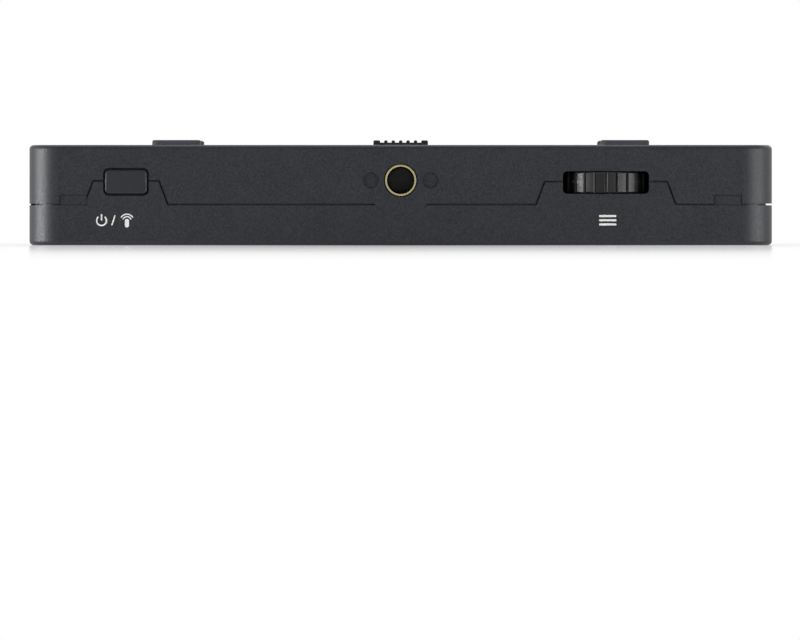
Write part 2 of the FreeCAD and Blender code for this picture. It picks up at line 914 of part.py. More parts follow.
def make_menu_wheel():
    disc = rod(wheel_x, wheel_y, wheel_bottom_z, z_axis, wheel_radius, wheel_thickness)
    rims = [edge for edge in disc.Edges if edge.BoundBox.ZLength < wheel_edge]
    disc = disc.makeChamfer(wheel_edge, rims)
    half_angle = wheel_groove_width / 2 / wheel_radius
    outside = wheel_radius + wheel_groove_depth
    cuts = [rod(wheel_x, wheel_y, wheel_bottom_z, z_axis, axle_radius + axle_clearance, wheel_thickness)]
    for ridge in range(wheel_ridges):
        angle = 2 * math.pi * ridge / wheel_ridges
        corners = [
            wheel_point(wheel_radius - wheel_groove_depth, angle),
            wheel_point(outside, angle + 2 * half_angle),
            wheel_point(outside, angle - 2 * half_angle),
        ]
        groove = Part.Face(Part.makePolygon(corners + corners[:1]))
        cuts.append(groove.extrude(z_axis * wheel_thickness))
    return disc.cut(cuts)


def make_wheel_axle():
    place = (wheel_x, wheel_y)
    shank = post(place, axle_radius, carrier_z, wheel_top_z + slide_gap)
    shoulder = post(place, axle_shoulder_radius, carrier_top_z, wheel_bottom_z - slide_gap)
    head = post(place, axle_head_radius, wheel_top_z + slide_gap, wheel_top_z + slide_gap + axle_head_height)
    return shank.fuse([shoulder, head]).removeSplitter()


def make_wheel_carrier():
    half = carrier_width / 2
    plate = block(
        wheel_x - half, wheel_x + half, inner_top_y + carrier_front_gap, wheel_plunger_y,
        carrier_z, carrier_top_z,
    )
    tab_half = switch_width / 2
    tab = block(
        wheel_x - tab_half, wheel_x + tab_half, carrier_tab_y, wheel_plunger_y,
        carrier_z, carrier_top_z + carrier_tab_rise,
    )
    hole = post((wheel_x, wheel_y), axle_radius + axle_fit, carrier_z, carrier_top_z)
    return plate.fuse(tab).cut(hole).removeSplitter()


def make_wheel_base():
    half = carrier_width / 2 + slide_gap
    outer = half + rail_width
    front_y = inner_top_y + carrier_front_gap
    rail_end_y = carrier_tab_y - carrier_tab_gap
    floor = block(
        wheel_x - outer, wheel_x + outer, front_y, wheel_switch_y + switch_depth,
        board_top_z, board_top_z + base_floor,
    )
    lip_z = carrier_top_z + slide_gap
    rails = []
    for side in (-1, 1):
        rail_x = sorted((wheel_x + side * half, wheel_x + side * outer))
        lip_x = sorted((wheel_x + side * (half - rail_lip), wheel_x + side * outer))
        rails.append(block(rail_x[0], rail_x[1], front_y, rail_end_y, board_top_z, lip_z))
        rails.append(block(lip_x[0], lip_x[1], front_y, rail_end_y, lip_z, lip_z + rail_lip_thickness))
    return floor.fuse(rails).removeSplitter()


# Card socket

sd_mouth_y = bottom_y - sd_socket_recess
sd_end_y = sd_mouth_y - sd_socket_length
sd_top_z = board_top_z + sd_socket_height


def make_sd_socket_base():
    half = sd_socket_width / 2 - sd_sheet
    body = block(
        sd_x - half, sd_x + half, sd_end_y, sd_mouth_y, board_top_z, sd_top_z - sd_sheet
    )
    card = block(
        sd_x - sd_card_width / 2, sd_x + sd_card_width / 2, sd_end_y + sd_back_wall, sd_mouth_y + beyond,
        board_top_z + sd_floor, sd_top_z - sd_sheet,
    )
    frame = block(
        sd_x - sd_socket_width / 2, sd_x + sd_socket_width / 2, sd_mouth_y - sd_frame_depth, sd_mouth_y,
        board_top_z, sd_top_z,
    )
    return body.fuse(frame).cut(card).removeSplitter()


def make_sd_socket_shell():
    half = sd_socket_width / 2
    front_y = sd_mouth_y - sd_frame_depth
    outer = block(sd_x - half, sd_x + half, sd_end_y, front_y, board_top_z, sd_top_z)
    inner = block(
        sd_x - half + sd_sheet, sd_x + half - sd_sheet, sd_end_y - beyond, front_y + beyond,
        board_top_z - beyond, sd_top_z - sd_sheet,
    )
    return outer.cut(inner)


# Power socket

dc_face_y = bottom_y - dc_recess
dc_back_y = dc_face_y - dc_length
dc_hole_end_y = dc_face_y - dc_hole_depth
dc_root_y = dc_hole_end_y - dc_pin_root
dc_spring_z = dc_hole_z + dc_hole_radius


def make_dc_jack_housing():
    half = dc_notch_width / 2 - dc_gap
    body = block(
        dc_x - half, dc_x + half, dc_back_y, dc_face_y, board_top_z, seam_z + dc_notch_rise - dc_gap
    )
    hole = rod(dc_hole_x, dc_hole_end_y, dc_hole_z, y_axis, dc_hole_radius, dc_hole_depth + beyond)
    slot_half = dc_spring_width / 2 + dc_spring_slot_gap
    slot = block(
        dc_hole_x - slot_half, dc_hole_x + slot_half, dc_hole_end_y, dc_hole_end_y + dc_spring_length,
        dc_hole_z, dc_spring_z + dc_spring_thickness,
    )
    root_radius = dc_pin_root_radius + dc_pin_fit
    root = rod(dc_hole_x, dc_root_y, dc_hole_z, y_axis, root_radius, dc_pin_root + beyond)
    return body.cut([hole, slot, root])


def make_dc_jack_pin():
    tip_y = dc_face_y - dc_pin_recess
    shank = rod(dc_hole_x, dc_hole_end_y, dc_hole_z, y_axis, dc_pin_radius, tip_y - dc_hole_end_y)
    tip = [edge for edge in shank.Edges if edge.BoundBox.YMin > tip_y - dc_pin_tip]
    root = rod(dc_hole_x, dc_root_y, dc_hole_z, y_axis, dc_pin_root_radius, dc_pin_root)
    return shank.makeChamfer(dc_pin_tip, tip).fuse(root).removeSplitter()


def make_dc_jack_spring():
    half = dc_spring_width / 2
    return block(
        dc_hole_x - half, dc_hole_x + half, dc_hole_end_y, dc_hole_end_y + dc_spring_length - dc_gap,
        dc_spring_z, dc_spring_z + dc_spring_thickness,
    )


# Headphone socket

def make_headphone_jack():
    half = phone_body_width / 2
    front_y = inner_bottom_y - phone_body_gap
    body = block(
        phone_x - half, phone_x + half, front_y - phone_body_length, front_y,
        board_top_z, board_top_z + phone_body_height,
    )
    nose_end_y = bottom_y - phone_nose_recess
    nose = rod(
        phone_x, front_y - phone_body_gap, phone_z, y_axis, phone_hole_radius - phone_nose_gap,
        nose_end_y - front_y + phone_body_gap,
    )
    bore = rod(
        phone_x, nose_end_y - phone_bore_length, phone_z, y_axis, phone_bore_radius,
        phone_bore_length + beyond,
    )
    return body.fuse(nose).cut(bore).removeSplitter()


# Video sockets

def hdmi_outline(y, grow):
    # D-shaped section with its two lower corners cut off, moved outwards by grow.
    half = hdmi_width / 2 + grow
    low = hdmi_z - hdmi_height / 2 - grow
    high = hdmi_z + hdmi_height / 2 + grow
    chamfer = hdmi_chamfer + grow * (2 - math.sqrt(2))
    return [
        (y - half, high),
        (y - half, low + chamfer),
        (y - half + chamfer, low),
        (y + half - chamfer, low),
        (y + half, low + chamfer),
        (y + half, high),
    ]


hdmi_mouth_x = left_x + hdmi_recess


def make_hdmi_shell(y):
    outer = wall_prism(hdmi_outline(y, hdmi_sheet), x_axis, hdmi_mouth_x, hdmi_length)
    inner = wall_prism(hdmi_outline(y, 0), x_axis, hdmi_mouth_x - beyond, hdmi_length + 2 * beyond)
    return outer.cut(inner)


def make_hdmi_insulator(y):
    block_x = hdmi_mouth_x + hdmi_length - hdmi_block_length
    rear = wall_prism(hdmi_outline(y, -hdmi_block_gap), x_axis, block_x, hdmi_block_length)
    tongue = block(
        hdmi_mouth_x + hdmi_tongue_recess, block_x, y - hdmi_tongue_width / 2, y + hdmi_tongue_width / 2,
        hdmi_z - hdmi_tongue_thickness / 2, hdmi_z + hdmi_tongue_thickness / 2,
    )
    return rear.fuse(tongue).removeSplitter()


# Battery bay

latch_rib_z = case_thickness + latch_proud
spring_top_z = case_thickness + latch_proud - spring_cap
spring_bore_radius = spring_coil_radius + spring_wire_radius + spring_bore_gap


def make_battery_latch():
    half_x = latch_width / 2
    half_y = latch_length / 2
    button = block(
        -half_x, half_x, latch_y - half_y, latch_y + half_y, latch_flange_z, latch_rib_z + latch_rib_height
    )
    flange = block(
        -half_x - latch_flange_reach, half_x + latch_flange_reach, latch_y - half_y, latch_y + half_y,
        latch_flange_z, latch_flange_top_z,
    )
    cuts = [post((0, latch_y), spring_bore_radius, latch_flange_z, spring_top_z)]
    valley = latch_rib_pitch - latch_rib_width
    for gap in range(latch_ribs - 1):
        x = (gap - (latch_ribs - 2) / 2) * latch_rib_pitch
        cuts.append(block(
            x - valley / 2, x + valley / 2, latch_y - half_y, latch_y + half_y,
            latch_rib_z, latch_rib_z + latch_rib_height,
        ))
    latch = button.fuse(flange).cut(cuts).removeSplitter()
    top_z = latch.BoundBox.ZMax
    rib_edges = [
        edge for edge in latch.Edges
        if edge.BoundBox.ZMin > top_z - latch_rib_edge and edge.BoundBox.XLength < latch_rib_edge
    ]
    return latch.makeChamfer(latch_rib_edge, rib_edges)


def make_latch_spring():
    # Coil of round wire, between the retainer and the end of the latch's bore.
    height = spring_top_z - retainer_top_z - 2 * spring_wire_radius
    helix = Part.makeHelix(height / spring_turns, height, spring_coil_radius)
    helix.translate(Vector(0, latch_y, retainer_top_z + spring_wire_radius))
    section = []
    for side in range(spring_wire_sides):
        angle = 2 * math.pi * side / spring_wire_sides
        out = spring_coil_radius + spring_wire_radius * math.cos(angle)
        up = retainer_top_z + spring_wire_radius * (1 + math.sin(angle))
        section.append(Vector(out, latch_y, up))
    wire = Part.makePolygon(section + section[:1])
    return Part.Wire(helix.Edges).makePipeShell([wire], True, True)


def make_latch_retainer():
    half_x = retainer_post_x + retainer_end
    half_y = latch_length / 2
    plate = block(-half_x, half_x, latch_y - half_y, latch_y + half_y, retainer_z, retainer_top_z)
    pin = post((0, latch_y), retainer_pin_radius, retainer_z, retainer_top_z + retainer_pin_height)
    holes = [
        post(place, small_screw_radius + screw_clearance, retainer_z, retainer_top_z)
        for place in retainer_screw_places
    ]
    return plate.fuse(pin).cut(holes).removeSplitter()


def make_latch_screws():
    length = retainer_thickness + (bay_under_z - retainer_top_z) / 2
    return [small_screw(place, retainer_z, z_axis, length) for place in retainer_screw_places]


def make_battery_contact_block():
    half = contact_block_width / 2
    body = block(
        -half, half, contact_block_y, bay_bottom_y, bay_floor_z, bay_floor_z + contact_block_height
    )
    cuts = []
    for x in contact_places:
        slot_half = contact_slot_width / 2
        leg_half = contact_thickness / 2 + contact_leg_gap
        cuts.append(block(
            x - slot_half, x + slot_half, contact_block_y - beyond, contact_end_y,
            contact_floor_z, case_thickness,
        ))
        cuts.append(block(
            x - leg_half, x + leg_half, contact_leg_y - contact_leg_gap, contact_end_y,
            bay_floor_z, contact_floor_z,
        ))
    return body.cut(cuts)


def make_battery_contacts():
    contacts = []
    for x in contact_places:
        half = contact_thickness / 2
        blade = block(
            x - half, x + half, contact_block_y + contact_leg_length, contact_end_y,
            contact_floor_z, contact_floor_z + contact_height,
        )
        leg = block(x - half, x + half, contact_leg_y, contact_end_y, board_top_z, contact_floor_z)
        contacts.append(blade.fuse(leg).removeSplitter())
    return contacts


# Build every piece and write it

def make_pieces():
    hull = make_hull()
    chip, pad, spreader = make_cooling()
    top_edge, bottom_edge = long_edges()
    return {
        "front_bezel": make_front_bezel(hull),
        "rear_cover": make_rear_cover(hull),
        "case_screws": make_case_screws(),
        "rubber_feet": make_rubber_feet(),
        "thread_insert_top": make_thread_insert(*top_edge),
        "thread_insert_bottom": make_thread_insert(*bottom_edge),
        "cover_glass": make_cover_glass(),
        "glass_adhesive": make_glass_adhesive(),
        "lcd_panel": panel_layer(panel_z, backlight_z),
        "backlight_unit": panel_layer(backlight_z, chassis_z),
        "chassis_plate": make_chassis_plate(),
        "chassis_screws": make_chassis_screws(),
        "main_board": make_main_board(),
        "board_screws": make_board_screws(),
        "image_processor": chip,
        "thermal_pad": pad,
        "heat_spreader": spreader,
        "display_flex": make_display_flex(),
        "flex_connector": make_flex_connector(),
        "power_button": make_power_button(),
        "power_switch_plunger": make_plunger(power_x, power_plunger_y, power_z),
        "power_switch": make_switch(power_x, power_switch_y, power_z, board_top_z),
        "menu_wheel": make_menu_wheel(),
        "wheel_axle": make_wheel_axle(),
        "wheel_carrier": make_wheel_carrier(),
        "wheel_base": make_wheel_base(),
        "wheel_switch_plunger": make_plunger(wheel_x, wheel_plunger_y, wheel_plunger_z),
        "wheel_switch": make_switch(wheel_x, wheel_switch_y, wheel_plunger_z, board_top_z + base_floor),
        "sd_socket_base": make_sd_socket_base(),
        "sd_socket_shell": make_sd_socket_shell(),
        "dc_jack_housing": make_dc_jack_housing(),
        "dc_jack_pin": make_dc_jack_pin(),
        "dc_jack_spring": make_dc_jack_spring(),
        "headphone_jack": make_headphone_jack(),
        "hdmi_in_shell": make_hdmi_shell(hdmi_in_y),
        "hdmi_in_insulator": make_hdmi_insulator(hdmi_in_y),
        "hdmi_out_shell": make_hdmi_shell(hdmi_out_y),
        "hdmi_out_insulator": make_hdmi_insulator(hdmi_out_y),
        "battery_latch": make_battery_latch(),
        "latch_spring": make_latch_spring(),
        "latch_retainer": make_latch_retainer(),
        "latch_screws": make_latch_screws(),
        "battery_contact_block": make_battery_contact_block(),
        "battery_contacts": make_battery_contacts(),
    }


def write_pieces(pieces):
    os.makedirs("parts", exist_ok=True)
    for name, made in pieces.items():
        solids = made if isinstance(made, list) else made.Solids
        shape = solids[0] if len(solids) == 1 else Part.makeCompound(solids)
        shape.exportStep(os.path.join("parts", name + ".step"))
        state = "valid" if shape.isValid() else "NOT VALID"
        print(f"{name}: {len(solids)} solid, {shape.Volume:.2f} mm3, {state}")


write_pieces(make_pieces())
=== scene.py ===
import json
import math
import bpy
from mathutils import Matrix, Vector


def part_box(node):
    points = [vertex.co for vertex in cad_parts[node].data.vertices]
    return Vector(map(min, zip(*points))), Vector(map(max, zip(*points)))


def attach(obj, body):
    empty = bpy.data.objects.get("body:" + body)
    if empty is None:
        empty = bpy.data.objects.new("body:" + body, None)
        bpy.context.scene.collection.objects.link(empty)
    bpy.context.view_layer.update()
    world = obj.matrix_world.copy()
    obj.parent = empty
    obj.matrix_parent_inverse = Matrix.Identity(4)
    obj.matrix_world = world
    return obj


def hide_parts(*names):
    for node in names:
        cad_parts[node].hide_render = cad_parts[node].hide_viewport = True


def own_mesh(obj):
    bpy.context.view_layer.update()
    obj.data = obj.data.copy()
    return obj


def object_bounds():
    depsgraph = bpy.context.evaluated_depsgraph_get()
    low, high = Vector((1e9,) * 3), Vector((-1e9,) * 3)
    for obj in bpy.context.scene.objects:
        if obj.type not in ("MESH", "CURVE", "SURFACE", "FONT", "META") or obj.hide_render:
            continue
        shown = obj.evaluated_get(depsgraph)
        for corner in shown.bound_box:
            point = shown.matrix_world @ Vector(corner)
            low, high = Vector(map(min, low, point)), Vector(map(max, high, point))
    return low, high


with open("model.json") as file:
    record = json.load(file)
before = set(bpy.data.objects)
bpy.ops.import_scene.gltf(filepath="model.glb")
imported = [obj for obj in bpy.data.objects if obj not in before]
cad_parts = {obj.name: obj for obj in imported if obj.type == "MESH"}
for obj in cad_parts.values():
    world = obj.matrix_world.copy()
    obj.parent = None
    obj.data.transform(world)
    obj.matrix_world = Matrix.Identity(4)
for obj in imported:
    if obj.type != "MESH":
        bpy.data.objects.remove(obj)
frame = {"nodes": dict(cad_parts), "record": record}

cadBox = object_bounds()
mm = 0.001
caseEdge = 46.0  # mm, from the middle of the case to each long edge
threadHeight = 13.2  # mm, from the screen side up to the axis of the camera threads
nodes = frame["nodes"]
scene = bpy.context.scene
scene.view_settings.view_transform = "Standard"
print("frame loaded,", len(nodes), "nodes")


def hexColour(code):  # sRGB hex to linear
    parts = [int(code[i:i + 2], 16) / 255 for i in (1, 3, 5)]
    return [p / 12.92 if p <= 0.04045 else ((p + 0.055) / 1.055) ** 2.4 for p in parts] + [1]


def addNode(tree, kind, settings, links=None):
    node = tree.nodes.new("ShaderNode" + kind)
    for name, value in settings.items():
        if isinstance(name, int) or name in node.inputs:
            node.inputs[name].default_value = value
        else:
            setattr(node, name, value)
    for name, source in (links or {}).items():
        tree.links.new(source, node.inputs[name])
    return node


def emptyTree(owner):
    owner.use_nodes = True
    owner.node_tree.nodes.clear()
    return owner.node_tree


def deselectAll():
    bpy.ops.object.select_all(action="DESELECT")


def pickPiece(piece):
    deselectAll()
    piece.select_set(True)
    bpy.context.view_layer.objects.active = piece


def startEdit():
    bpy.ops.object.mode_set(mode="EDIT")
    bpy.ops.mesh.select_all(action="SELECT")


def endEdit():
    bpy.ops.object.mode_set(mode="OBJECT")


def editFaces(piece, wanted):  # edit mode with only the wanted faces selected
    for face in piece.data.polygons:
        face.select = wanted(face)
    bpy.ops.object.mode_set(mode="EDIT")
    bpy.ops.mesh.select_mode(type="FACE")


def turnOutwards():  # all faces of a closed piece, and edit mode ends
    bpy.ops.mesh.select_all(action="SELECT")
    bpy.ops.mesh.normals_make_consistent(inside=False)
    endEdit()


# camera square on to the top edge, a long way off so that the sides don't show; lengths in mm
cameraSet = dict(distance=4360, lens=966.0, sensor=36, across=-0.14, height=10.2, shiftUp=-0.1561,
                 wheelProud=1.2, nearest=10)

deselectAll()
edgeY = cadBox[0].y / mm + cameraSet["wheelProud"]  # only the wheel stands proud of the top edge
bpy.ops.object.camera_add(
    location=(cameraSet["across"] * mm, (edgeY - cameraSet["distance"]) * mm, cameraSet["height"] * mm),
    rotation=(math.radians(90), 0, 0))
camera = bpy.context.object
camera.data.lens = cameraSet["lens"]
camera.data.sensor_width = cameraSet["sensor"]
camera.data.shift_y = cameraSet["shiftUp"]
camera.data.clip_start = cameraSet["nearest"] * mm
scene.camera = camera

# wide soft lamps in front, above and behind, and at each end a strip for the rounded corners to catch,
# standing low so that it grazes the flat back without glare; places and sizes in metres
lamps = {
    "frontLeftSoftbox": dict(place=(-1.0, -1.0, 0.6), size=(0.9, 0.9), watts=2.3),
    "frontRightSoftbox": dict(place=(0.65, -1.1, 0.3), size=(0.35, 0.9), watts=1.1),
    "leftStrip": dict(place=(-0.935, -0.29, 0.03), size=(0.64, 0.06), watts=7.8),
    "rightStrip": dict(place=(0.84, -0.5, 0.03), size=(0.84, 0.06), watts=4),
    "topSoftbox": dict(place=(-0.1, 0.1, 1.3), size=(1.2, 0.9), watts=2.85),
    "backSoftbox": dict(place=(0.3, 1.3, 0.5), size=(1.4, 0.6), watts=4.5),
}
for name, lamp in lamps.items():
    bpy.ops.object.light_add(type="AREA", location=lamp["place"])
    light = bpy.context.object
    light.name = name
    light.data.shape = "RECTANGLE"
    light.data.size, light.data.size_y = lamp["size"]
    light.data.energy = lamp["watts"]
    light.rotation_euler = (-Vector(lamp["place"])).to_track_quat("-Z", "Y").to_euler()

# the room is white to look at, a plain grey as a light, and in reflections darker on the photographer's side:
# it brightens as the direction's Y goes from darkAt to whiteAt
roomSet = dict(white="#ffffff", fillStrength=0.285, darkSide=0.245, darkAt=-0.6, whiteAt=0.1)

world = bpy.data.worlds.new("paleRoom")
scene.world = world
tree = emptyTree(world)
ray = addNode(tree, "LightPath", {}).outputs
way = addNode(tree, "SeparateXYZ", {}, {0: addNode(tree, "TexCoord", {}).outputs["Generated"]})
side = addNode(tree, "MapRange", {"From Min": roomSet["darkAt"], "From Max": roomSet["whiteAt"],
                                  "To Min": roomSet["darkSide"], "To Max": 1}, {"Value": way.outputs["Y"]})
white = hexColour(roomSet["white"])
fill = addNode(tree, "Background", {"Color": white, "Strength": roomSet["fillStrength"]})
mirrored = addNode(tree, "Background", {"Color": white}, {"Strength": side.outputs[0]})
plain = addNode(tree, "Background", {"Color": white, "Strength": 1})
seen = addNode(tree, "Math", {"operation": "ADD", "use_clamp": True},
               {0: ray["Is Camera Ray"], 1: ray["Is Transmission Ray"]})
mixed = addNode(tree, "MixShader", {}, {0: ray["Is Glossy Ray"], 1: fill.outputs[0], 2: mirrored.outputs[0]})
mixed = addNode(tree, "MixShader", {}, {0: seen.outputs[0], 1: mixed.outputs[0], 2: plain.outputs[0]})
addNode(tree, "OutputWorld", {}, {"Surface": mixed.outputs[0]})

# a white polished floor: shadow and reflection stay near the object, and further off it melts into the room.
# fade and polish go by the distance from the middle in metres, and along the object it counts endwise times;
# lowLook is the power that keeps the polish to a very low look
floorSet = dict(radius=2.4, sides=96, drop=0.05 * mm, colour="#f8f4f1", dull=0.6,
                glow="#ffffff", underGlow="#000000", fadeFrom=-0.15, fadeTo=0.34, endwise=2.2,
                polish=0.43, polishFrom=0.45, polishTo=1.2, polishRough=0.155, ior=1.49, lowLook=3)

deselectAll()
bpy.ops.mesh.primitive_circle_add(vertices=floorSet["sides"], radius=floorSet["radius"], fill_type="NGON",
                                  location=(0, 0, -floorSet["drop"]))
floor = bpy.context.object
floor.name = "floor"
startEdit()
bpy.ops.mesh.inset(thickness=floorSet["radius"] - floorSet["fadeTo"])
endEdit()
whiteAcrylic = bpy.data.materials.new("whiteAcrylic")
tree = emptyTree(whiteAcrylic)
place = addNode(tree, "TexCoord", {}).outputs["Object"]
ray = addNode(tree, "LightPath", {}).outputs
seen = addNode(tree, "Math", {"operation": "ADD"}, {0: ray["Is Camera Ray"], 1: ray["Is Glossy Ray"]})
seen = addNode(tree, "Math", {"operation": "ADD", "use_clamp": True},
               {0: seen.outputs[0], 1: ray["Is Transmission Ray"]})
reach = addNode(tree, "Mapping", {"Scale": (floorSet["endwise"], 1, 1)}, {"Vector": place})
off = addNode(tree, "VectorMath", {"operation": "LENGTH"}, {0: reach.outputs[0]})
fade = addNode(tree, "MapRange", {"interpolation_type": "SMOOTHSTEP", "From Min": floorSet["fadeFrom"],
                                  "From Max": floorSet["fadeTo"]}, {"Value": off.outputs["Value"]})
fade = addNode(tree, "Math", {"operation": "MULTIPLY"}, {0: fade.outputs[0], 1: seen.outputs[0]})
shade = addNode(tree, "ValToRGB", {}, {"Fac": fade.outputs[0]})
shade.color_ramp.elements[0].color = hexColour(floorSet["colour"])
shade.color_ramp.elements[1].color = hexColour(floorSet["underGlow"])  # where the white glow takes over
ground = addNode(tree, "BsdfPrincipled", {"Roughness": floorSet["dull"], "Specular IOR Level": 0,
                                          "Emission Color": hexColour(floorSet["glow"])},
                 {"Base Color": shade.outputs[0], "Emission Strength": fade.outputs[0]})
shine = addNode(tree, "BsdfGlossy", {"distribution": "BECKMANN", "Color": hexColour(floorSet["glow"]),
                                     "Roughness": floorSet["polishRough"]})
slant = addNode(tree, "Fresnel", {"IOR": floorSet["ior"]})
slant = addNode(tree, "Math", {"operation": "POWER", 1: floorSet["lowLook"]}, {0: slant.outputs[0]})
polish = addNode(tree, "MapRange", {"From Min": floorSet["polishFrom"], "From Max": floorSet["polishTo"],
                                    "To Min": floorSet["polish"], "To Max": 0},
                 {"Value": off.outputs["Value"]})
slant = addNode(tree, "Math", {"operation": "MULTIPLY"}, {0: slant.outputs[0], 1: polish.outputs[0]})
ground = addNode(tree, "MixShader", {}, {0: slant.outputs[0], 1: ground.outputs[0], 2: shine.outputs[0]})
addNode(tree, "OutputMaterial", {}, {"Surface": ground.outputs[0]})
floor.data.materials.append(whiteAcrylic)
print("camera, lamps, room and floor set")

# Finishes, one for each material slot of the record.
# grain and mottle are sizes in mm, cloud is how much the mottle shifts the tone, bump is a depth in mm,
# rough goes from the grain's dips to its tops, stretch draws the grain out along an axis,
# rings and bands are spacings in mm, rim is the bright band's inner and outer radius in mm; the black on each
# side of that band is painted shade
finishes = {
    # ABS from a spark-eroded mould: matte, a fine even grain with pale tops, 0.15 mm, drawn at 0.3 to show
    "case_plastic": dict(name="sparkGrainAbs", dark="#010206", light="#252a33", grain=0.3, mottle=9,
                         cloud=0.03, bump=0.018, rough=(0.42, 0.54), ior=1.53),
    # the same ABS from a finer mould: a smoother satin on what the finger presses
    "key_plastic": dict(name="satinAbs", dark="#010205", light="#22262e", grain=0.25, mottle=6,
                        cloud=0.03, bump=0.014, rough=(0.4, 0.5), ior=1.53),
    # ABS straight from a polished mould: darker and a little shinier along the ridges
    "wheel_plastic": dict(name="moulderPolishAbs", dark="#0a0b0c", light="#131417", grain=0.4, mottle=4,
                          bump=0.004, rough=(0.36, 0.46), ior=1.53, specular=0.38),
    # silicone rubber pad: soft grey, no shine, dusty bloom
    "foot_rubber": dict(name="siliconeRubber", dark="#3e3e45", light="#4c4c54", grain=0.25, mottle=5,
                        cloud=0.07, bump=0.01, rough=(0.7, 0.82), ior=1.42),
    # steel screw, black zinc: dark metal with a dull oily shine
    "black_screw": dict(name="blackZincSteel", dark="#18191b", light="#2b2c30", grain=0.35, mottle=2,
                        bump=0.003, rough=(0.3, 0.45), metallic=1),
    # brass: a pale yellow turned band with lathe rings, black each side as painted shade of the hole and
    # groove
    "brass": dict(name="turnedBrass", dark="#d6c98e", light="#f0e7bc", grain=0.2, mottle=3,
                  bump=0.003, rough=(0.2, 0.3), metallic=1, rings=0.22, rim=(2.8, 3.15), shadeBlack="#0f0d0b"),
    # toughened cover glass with a grey tint over the dark panel
    "cover_glass": dict(name="toughenedGlass", dark="#0b0c0e", light="#101114", grain=30, mottle=60,
                        bump=0, rough=(0.02, 0.04), ior=1.52, transmission=0.6),
    # black foam tape: open cells, no shine
    "adhesive": dict(name="foamTape", dark="#0d0d0e", light="#1c1c1e", grain=0.4, mottle=4,
                     bump=0.03, rough=(0.8, 0.95), ior=1.45),
    # polariser film on the liquid crystal glass: near black, satin
    "panel_glass": dict(name="polariserFilm", dark="#0c0d11", light="#12131a", grain=0.5, mottle=40,
                        bump=0.001, rough=(0.2, 0.28), ior=1.5),
    # white polycarbonate moulding that holds the light guide
    "backlight_frame": dict(name="whitePolycarbonate", dark="#d6d7d8", light="#e4e5e5", grain=0.4, mottle=12,
                            bump=0.004, rough=(0.4, 0.5), ior=1.58),
    # galvanised sheet: grey with a soft spangle of crystals some 3 mm wide
    "sheet_steel": dict(name="galvanisedSheet", dark="#8b8f93", light="#a9adb0", grain=3, mottle=8,
                        bump=0.002, rough=(0.28, 0.5), metallic=1),
    # nickelled steel screw
    "steel_screw": dict(name="nickelledSteel", dark="#8d8b87", light="#b3b0aa", grain=0.3, mottle=2,
                        bump=0.002, rough=(0.22, 0.34), metallic=1),
    # green solder mask, with copper tracks 0.8 mm apart showing as paler lines
    "circuit_board": dict(name="solderMask", dark="#0f3a23", light="#1b5533", grain=0.5, mottle=7,
                          bump=0.01, rough=(0.3, 0.42), ior=1.5, bands=0.8),
    # moulded epoxy: charcoal, a faint sandy tooth
    "chip": dict(name="mouldedEpoxy", dark="#161617", light="#222223", grain=0.15, mottle=3,
                 bump=0.006, rough=(0.55, 0.7), ior=1.55),
    # soft silicone gap pad: blue grey, slightly tacky
    "thermal_pad": dict(name="siliconePad", dark="#6c7f92", light="#8093a5", grain=0.3, mottle=5,
                        bump=0.02, rough=(0.6, 0.75), ior=1.41),
    # rolled aluminium: bright, with the streaks of the rolling
    "aluminium": dict(name="rolledAluminium", dark="#a9acaf", light="#cfd1d3", grain=0.25, mottle=10,
                      bump=0.003, rough=(0.25, 0.42), metallic=1, stretch=(1, 0.05, 1)),
    # ivory liquid crystal polymer: pale, a little cloudy
    "connector_plastic": dict(name="ivoryPolymer", dark="#cfc6ae", light="#dfd7c2", grain=0.3, mottle=3,
                              bump=0.005, rough=(0.45, 0.6), ior=1.6),
    # amber polyimide film with copper tracks showing through, 1 mm apart
    "flat_cable": dict(name="polyimideFilm", dark="#7c4a17", light="#a9702b", grain=0.4, mottle=6,
                       bump=0.004, rough=(0.25, 0.38), ior=1.7, bands=1.0),
    # natural acetal: off-white and waxy
    "switch_plunger": dict(name="naturalAcetal", dark="#d9d7cf", light="#e9e7df", grain=0.3, mottle=2,
                           bump=0.003, rough=(0.35, 0.45), ior=1.48),
    # glass-filled nylon: black with short pale fibres lying along the flow
    "socket_plastic": dict(name="glassFilledNylon", dark="#030304", light="#0b0b0d", grain=0.3, mottle=3,
                           bump=0.006, rough=(0.55, 0.7), ior=1.53, specular=0.15, stretch=(1, 0.25, 1)),
    # ground steel pin, black oxide: near black, with fine marks left by the grinding
    "axle_steel": dict(name="blackOxideSteel", dark="#17181a", light="#26272a", grain=0.2, mottle=2,
                       bump=0.002, rough=(0.28, 0.4), metallic=1, stretch=(1, 1, 0.1)),
    # stamped stainless shell: cool grey, a faint rolling grain
    "socket_steel": dict(name="stampedStainless", dark="#85888b", light="#a6a8aa", grain=0.25, mottle=5,
                         bump=0.002, rough=(0.26, 0.4), metallic=1, stretch=(0.08, 1, 1)),
    # bright nickel plate: mirror-like with slight waviness
    "nickel": dict(name="nickelPlate", dark="#a9a8a5", light="#c2c1bd", grain=0.4, mottle=3,
                   bump=0.001, rough=(0.12, 0.22), metallic=1),
    # drawn spring wire: grey, finely marked by the die
    "spring_steel": dict(name="drawnWire", dark="#75777a", light="#999b9e", grain=0.15, mottle=2,
                         bump=0.002, rough=(0.25, 0.4), metallic=1),
    # hard gold over nickel: warm, slightly matte from the plating bath
    "gold_contact": dict(name="hardGold", dark="#cf9f45", light="#e6bd66", grain=0.2, mottle=2,
                         bump=0.001, rough=(0.2, 0.3), metallic=1),
    # pad-printed white ink: opaque, thin and slightly uneven
    "print_ink": dict(name="padInk", dark="#e9e9e8", light="#f7f7f6", grain=0.12, mottle=2,
                      bump=0.002, rough=(0.5, 0.6), ior=1.5),
}

